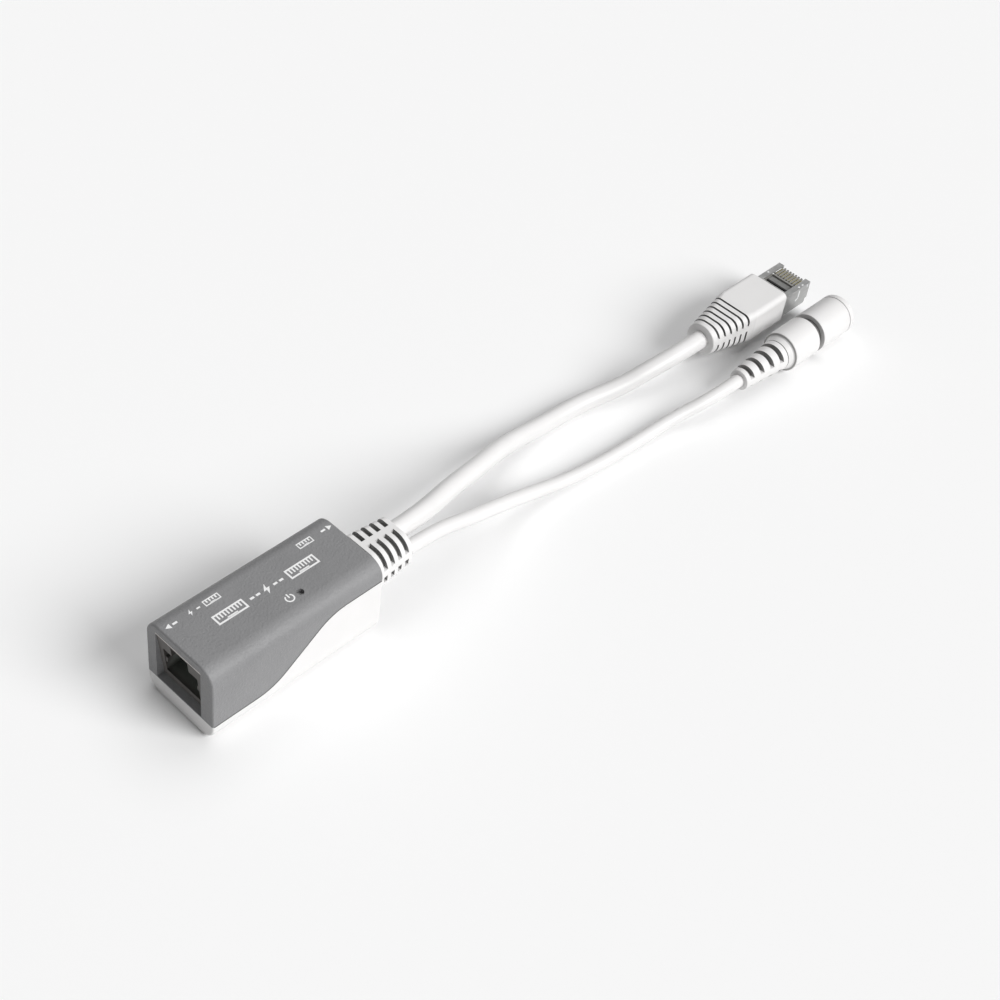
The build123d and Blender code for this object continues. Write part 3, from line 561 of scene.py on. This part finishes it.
def print_power_symbol(name, along, up):
    """A broken ring with a bar through the break."""
    line = 0.36
    mark = Print(name, along, up)
    mark.arc(0, 0, radius=1.05, line=line, start=125, sweep=290)
    mark.bar(0, 0.75, length=line, width=1.3)
    mark.ink()


def print_large_marks():
    """Along the middle of the cover: a port, links, a bolt, links and a port."""
    port_from_middle = 10.6
    first_link = 2.55
    link_step = 1.75
    mark = Print("print_pass_through", 25.7, 0.6)
    for side in (-1, 1):
        draw_port(mark, side * port_from_middle, length=8.6, height=3.1, contacts=8)
        for link in range(2):
            mark.bar(side * (first_link + link_step * link), 0, length=1.15, width=0.6)
    draw_bolt(mark, 0, height=3.3)
    mark.ink()


def print_small_marks():
    """Beside each arrow: a bolt and a port to the front, and a port to the rear."""
    small_port = {"length": 4.4, "height": 1.8, "contacts": 4}
    front = Print("print_front_port", 11.9, 6.15)
    draw_bolt(front, -3.6, height=2.0)
    front.bar(-1.4, 0, length=1.0, width=0.4)
    draw_port(front, 2.4, **small_port)
    front.ink()
    rear = Print("print_rear_port", 41.8, 5.8)
    draw_port(rear, 0, **small_port)
    rear.ink()


print_arrow("print_arrow_front", 1.2, 6.0, -1)
print_arrow("print_arrow_rear", 50.2, 6.0, 1)
print_power_symbol("print_power_symbol", 27.85, -4.87)
print_large_marks()
print_small_marks()


# ---- Plug windows and socket rim: painted highlights and shadows --------------------------------
CONTACTS = 8
BLADE_WIDTH = 0.3
BLADE_DEPTH = 0.35  # the contact blades lie this far below the top of the comb


def rounded_bar(shape, centre, size, tilt=0.0, rounding=0.06):
    """A small bar with softened edges, tilted by degrees about X."""
    turn = Matrix.Rotation(math.radians(tilt), 4, "X")
    matrix = Matrix.Translation(centre) @ turn @ Matrix.Diagonal((*size, 1.0))
    verts = bmesh.ops.create_cube(shape, size=1.0, matrix=matrix)["verts"]
    edges = dict.fromkeys(edge for vert in verts for edge in vert.link_edges)
    bmesh.ops.bevel(
        shape,
        geom=list(edges),
        offset=rounding,
        affect="EDGES",
        segments=2,
        profile=0.5,
        material=-1,
    )


def side_windows(shape):
    """The hooked slot and the small window near the nose, in both sides of the shield."""
    low, high = box_mm("plug_shield")
    middle = (low[0] + high[0]) / 2
    half = (high[0] - low[0]) / 2
    centre_z = (low[2] + high[2]) / 2
    nose = high[1]
    sunk, thick = 0.05, 0.18
    for side in (-1, 1):
        wall = middle + side * (half - sunk)
        hook_stem = (wall, nose - 5.0, centre_z + 1.35)
        hook_foot = (wall, nose - 5.55, centre_z - 0.32)
        nose_window = (wall, nose - 1.3, high[2] - 0.85)
        rounded_bar(shape, hook_stem, (thick, 0.62, 2.7))
        rounded_bar(shape, hook_foot, (thick, 0.6, 1.4), tilt=-68)
        rounded_bar(shape, nose_window, (thick, 0.4, 0.95), tilt=12)


def top_windows(shape):
    """The three small windows in the top of the shield."""
    low, high = box_mm("plug_shield")
    middle = (low[0] + high[0]) / 2
    half = (high[0] - low[0]) / 2
    nose = high[1]
    top = high[2] - 0.07
    for from_middle, back in ((0.65 - half, 6.5), (half - 0.6, 4.95), (half - 0.55, 3.2)):
        centre = (middle + from_middle, nose - back, top)
        rounded_bar(shape, centre, (0.5, 0.62, 0.18), rounding=0.02)


def comb_edge_highlight(shape):
    """The painted highlight along the edge and corner of the clear moulding, left of the blades."""
    low, high = box_mm("plug_contacts")
    edge = low[0] - 0.3
    top = high[2] + BLADE_DEPTH - 0.22
    # Painted highlight: white bars along the clear moulding's edge.
    rounded_bar(shape, (edge, (low[1] + high[1]) / 2, top), (0.4, 3.1, 0.5))
    rounded_bar(shape, (edge, low[1] - 0.75, top), (0.55, 0.55, 0.5))


def plug_window_highlights():
    """White painted highlight in the shield's slots and windows, and along the clear moulding's
    edge by the blades.
    """
    shape = bmesh.new()
    side_windows(shape)
    top_windows(shape)
    comb_edge_highlight(shape)
    add_piece("plug_window_highlights", shape, "window_highlight")


def comb_gap_shadows():
    """Black bars of painted shadow at both ends of the comb's eight channels."""
    low, high = box_mm("plug_contacts")
    pitch = (high[0] - low[0] - BLADE_WIDTH) / (CONTACTS - 1)
    top = high[2] + BLADE_DEPTH - 0.17
    shape = bmesh.new()
    for channel in range(CONTACTS):
        x = low[0] + BLADE_WIDTH / 2 + channel * pitch
        behind_blade = (x, low[1] - 0.25, top)
        at_nose = (x + pitch / 2, high[1] + 0.35, top)
        # Painted shadow: black bars where the channels fall into shade.
        rounded_bar(shape, behind_blade, (0.66, 0.4, 0.4), rounding=0.03)
        rounded_bar(shape, at_nose, (0.34, 0.34, 0.4), rounding=0.03)
    add_piece("comb_gap_shadows", shape, "black")


def socket_rim_highlight():
    """A pale strip of painted highlight along the top and the right side of the socket's mouth."""
    low, high = box_mm("jack_housing")
    past_housing = 0.6
    line = 0.3
    drop = 8.0
    depth = 0.5
    behind_front = 0.26
    rounding = 0.04
    y = FRONT + behind_front
    right = high[0] + past_housing
    left = low[0] - past_housing
    shape = bmesh.new()
    lintel = ((left + right) / 2, y, high[2] - line / 2)
    jamb = (right - line / 2, y, high[2] - drop / 2)
    # Painted highlight: pale bars along the top and the right of the mouth.
    rounded_bar(shape, lintel, (right - left, depth, line), rounding=rounding)
    rounded_bar(shape, jamb, (line, depth, drop), rounding=rounding)
    add_piece("socket_rim_highlight", shape, "rim_highlight")


def joint_shadow():
    """The dark line under the grey cover's edge, along both sides of the box."""
    front_z = 5.3
    rear_z = 17.9
    rise_start = 17.7
    rise_end = 35.0
    bend = 14.0
    inset = 0.4
    end_handle = 1.0
    thickness = 0.1
    slope = math.atan2(rear_z - front_z, rise_end - rise_start)
    reach = bend * math.tan(slope / 2)
    handle = bend * math.tan(slope / 4) * 4 / 3
    along = Vector((0, 1, 0))
    climb = Vector((0, math.cos(slope), math.sin(slope)))
    foot = Vector((0, COVER_LOW[1] + rise_start, front_z))
    head = Vector((0, COVER_LOW[1] + rise_end, rear_z))
    start = Vector((0, COVER_LOW[1] + inset, front_z))
    end = Vector((0, COVER_HIGH[1] - inset, rear_z))
    knots = [
        (start, along * end_handle),
        (foot - along * reach, along * handle),
        (foot + climb * reach, climb * handle),
        (head - climb * reach, climb * handle),
        (head + along * reach, along * handle),
        (end, along * end_handle),
    ]
    curve = bpy.data.curves.new("joint_shadow", "CURVE")
    curve.dimensions = "3D"
    curve.bevel_depth = thickness * MM
    curve.bevel_resolution = 2
    curve.resolution_u = 16
    for side_x in (COVER_LOW[0], COVER_HIGH[0]):
        across = Vector((side_x, 0, 0))
        spline = curve.splines.new("BEZIER")
        spline.bezier_points.add(len(knots) - 1)
        for point, (place, lead_in) in zip(spline.bezier_points, knots):
            point.handle_left_type = point.handle_right_type = "FREE"
            point.co = (place + across) * MM
            point.handle_left = (place + across - lead_in) * MM
            point.handle_right = (place + across + lead_in) * MM
    curve.materials.append(finishes["seam"])
    piece = add_object("joint_shadow", curve)
    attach(piece, "lead")


plug_window_highlights()
comb_gap_shadows()
socket_rim_highlight()
joint_shadow()


# ---- Floor, lights and camera -------------------------------------------------------------------
def add_stage(name, shape, material):
    """Turns a bmesh into a part of the scene that isn't part of the object."""
    mesh = bpy.data.meshes.new(name)
    shape.to_mesh(mesh)
    shape.free()
    mesh.materials.append(material)
    piece = add_object(name, mesh)
    return piece


def stage_floor():
    """A plain pale floor."""
    shape = bmesh.new()
    bmesh.ops.create_grid(shape, x_segments=1, y_segments=1, size=6.0)
    pale = Finish("Pale floor").set(Base_Color=(0.93, 0.93, 0.93), Roughness=0.9)
    add_stage("Floor", shape, pale)


def pale_backdrop():
    """A pale dome round the floor that only the camera sees, so it gives no light or shadow."""
    shape = bmesh.new()
    bmesh.ops.create_uvsphere(shape, u_segments=48, v_segments=24, radius=5.5)
    pale = Finish("Pale backdrop").set(
        Base_Color=(0.0, 0.0, 0.0), Emission_Color=(0.875, 0.875, 0.875), Emission_Strength=1.0
    )
    dome = add_stage("Backdrop", shape, pale)
    for ray in ("diffuse", "glossy", "shadow", "transmission", "volume_scatter"):
        setattr(dome, "visible_" + ray, False)


def soft_light(name, towards, strength, spread):
    """Even light over the whole object from one side, softened over a spread of degrees."""
    lamp = bpy.data.lights.new(name, "SUN")
    lamp.energy = strength
    lamp.angle = math.radians(spread)
    light = add_object(name, lamp)
    light.rotation_euler = Vector(towards).to_track_quat("Z", "Y").to_euler()


def soft_surround(strength):
    """Even white light from all round."""
    world = bpy.data.worlds.new("Studio")
    world.use_nodes = True
    background = world.node_tree.nodes["Background"]
    background.inputs["Color"].default_value = (1, 1, 1, 1)
    background.inputs["Strength"].default_value = strength
    bpy.context.scene.world = world


stage_floor()
pale_backdrop()
soft_light("Overhead", towards=(-0.15, 0.35, 1.0), strength=1.08, spread=60)
soft_light("Key", towards=(0.78, 0.26, 0.57), strength=2.9, spread=36)
soft_surround(0.15)

CAMERA_PLACE = Vector((0.1998, -0.18282, 0.3235))
CAMERA_TURN = math.radians(37.89)
CAMERA_DIP = math.radians(44.80)
CAMERA_ROLL = math.radians(8.67)
SENSOR_WIDTH = 36.0
LENS_OVER_FRAME = 1.75729
NEAREST_SEEN = 0.01


def place_camera():
    """Camera that looks at the box from its right and above, rolled a little."""
    level = Vector((math.cos(CAMERA_TURN), math.sin(CAMERA_TURN), 0))
    ahead = Vector((
        -math.sin(CAMERA_TURN) * math.cos(CAMERA_DIP),
        math.cos(CAMERA_TURN) * math.cos(CAMERA_DIP),
        -math.sin(CAMERA_DIP),
    ))
    upright = level.cross(ahead)
    right = level * math.cos(CAMERA_ROLL) + upright * math.sin(CAMERA_ROLL)
    up = upright * math.cos(CAMERA_ROLL) - level * math.sin(CAMERA_ROLL)
    data = bpy.data.cameras.new("Camera")
    data.sensor_width = SENSOR_WIDTH
    data.lens = SENSOR_WIDTH * LENS_OVER_FRAME
    data.clip_start = NEAREST_SEEN
    camera = add_object("Camera", data)
    turn = Matrix((right, up, -ahead)).transposed().to_4x4()
    camera.matrix_world = Matrix.Translation(CAMERA_PLACE) @ turn
    bpy.context.scene.camera = camera


place_camera()
bpy.context.scene.view_settings.view_transform = "Standard"
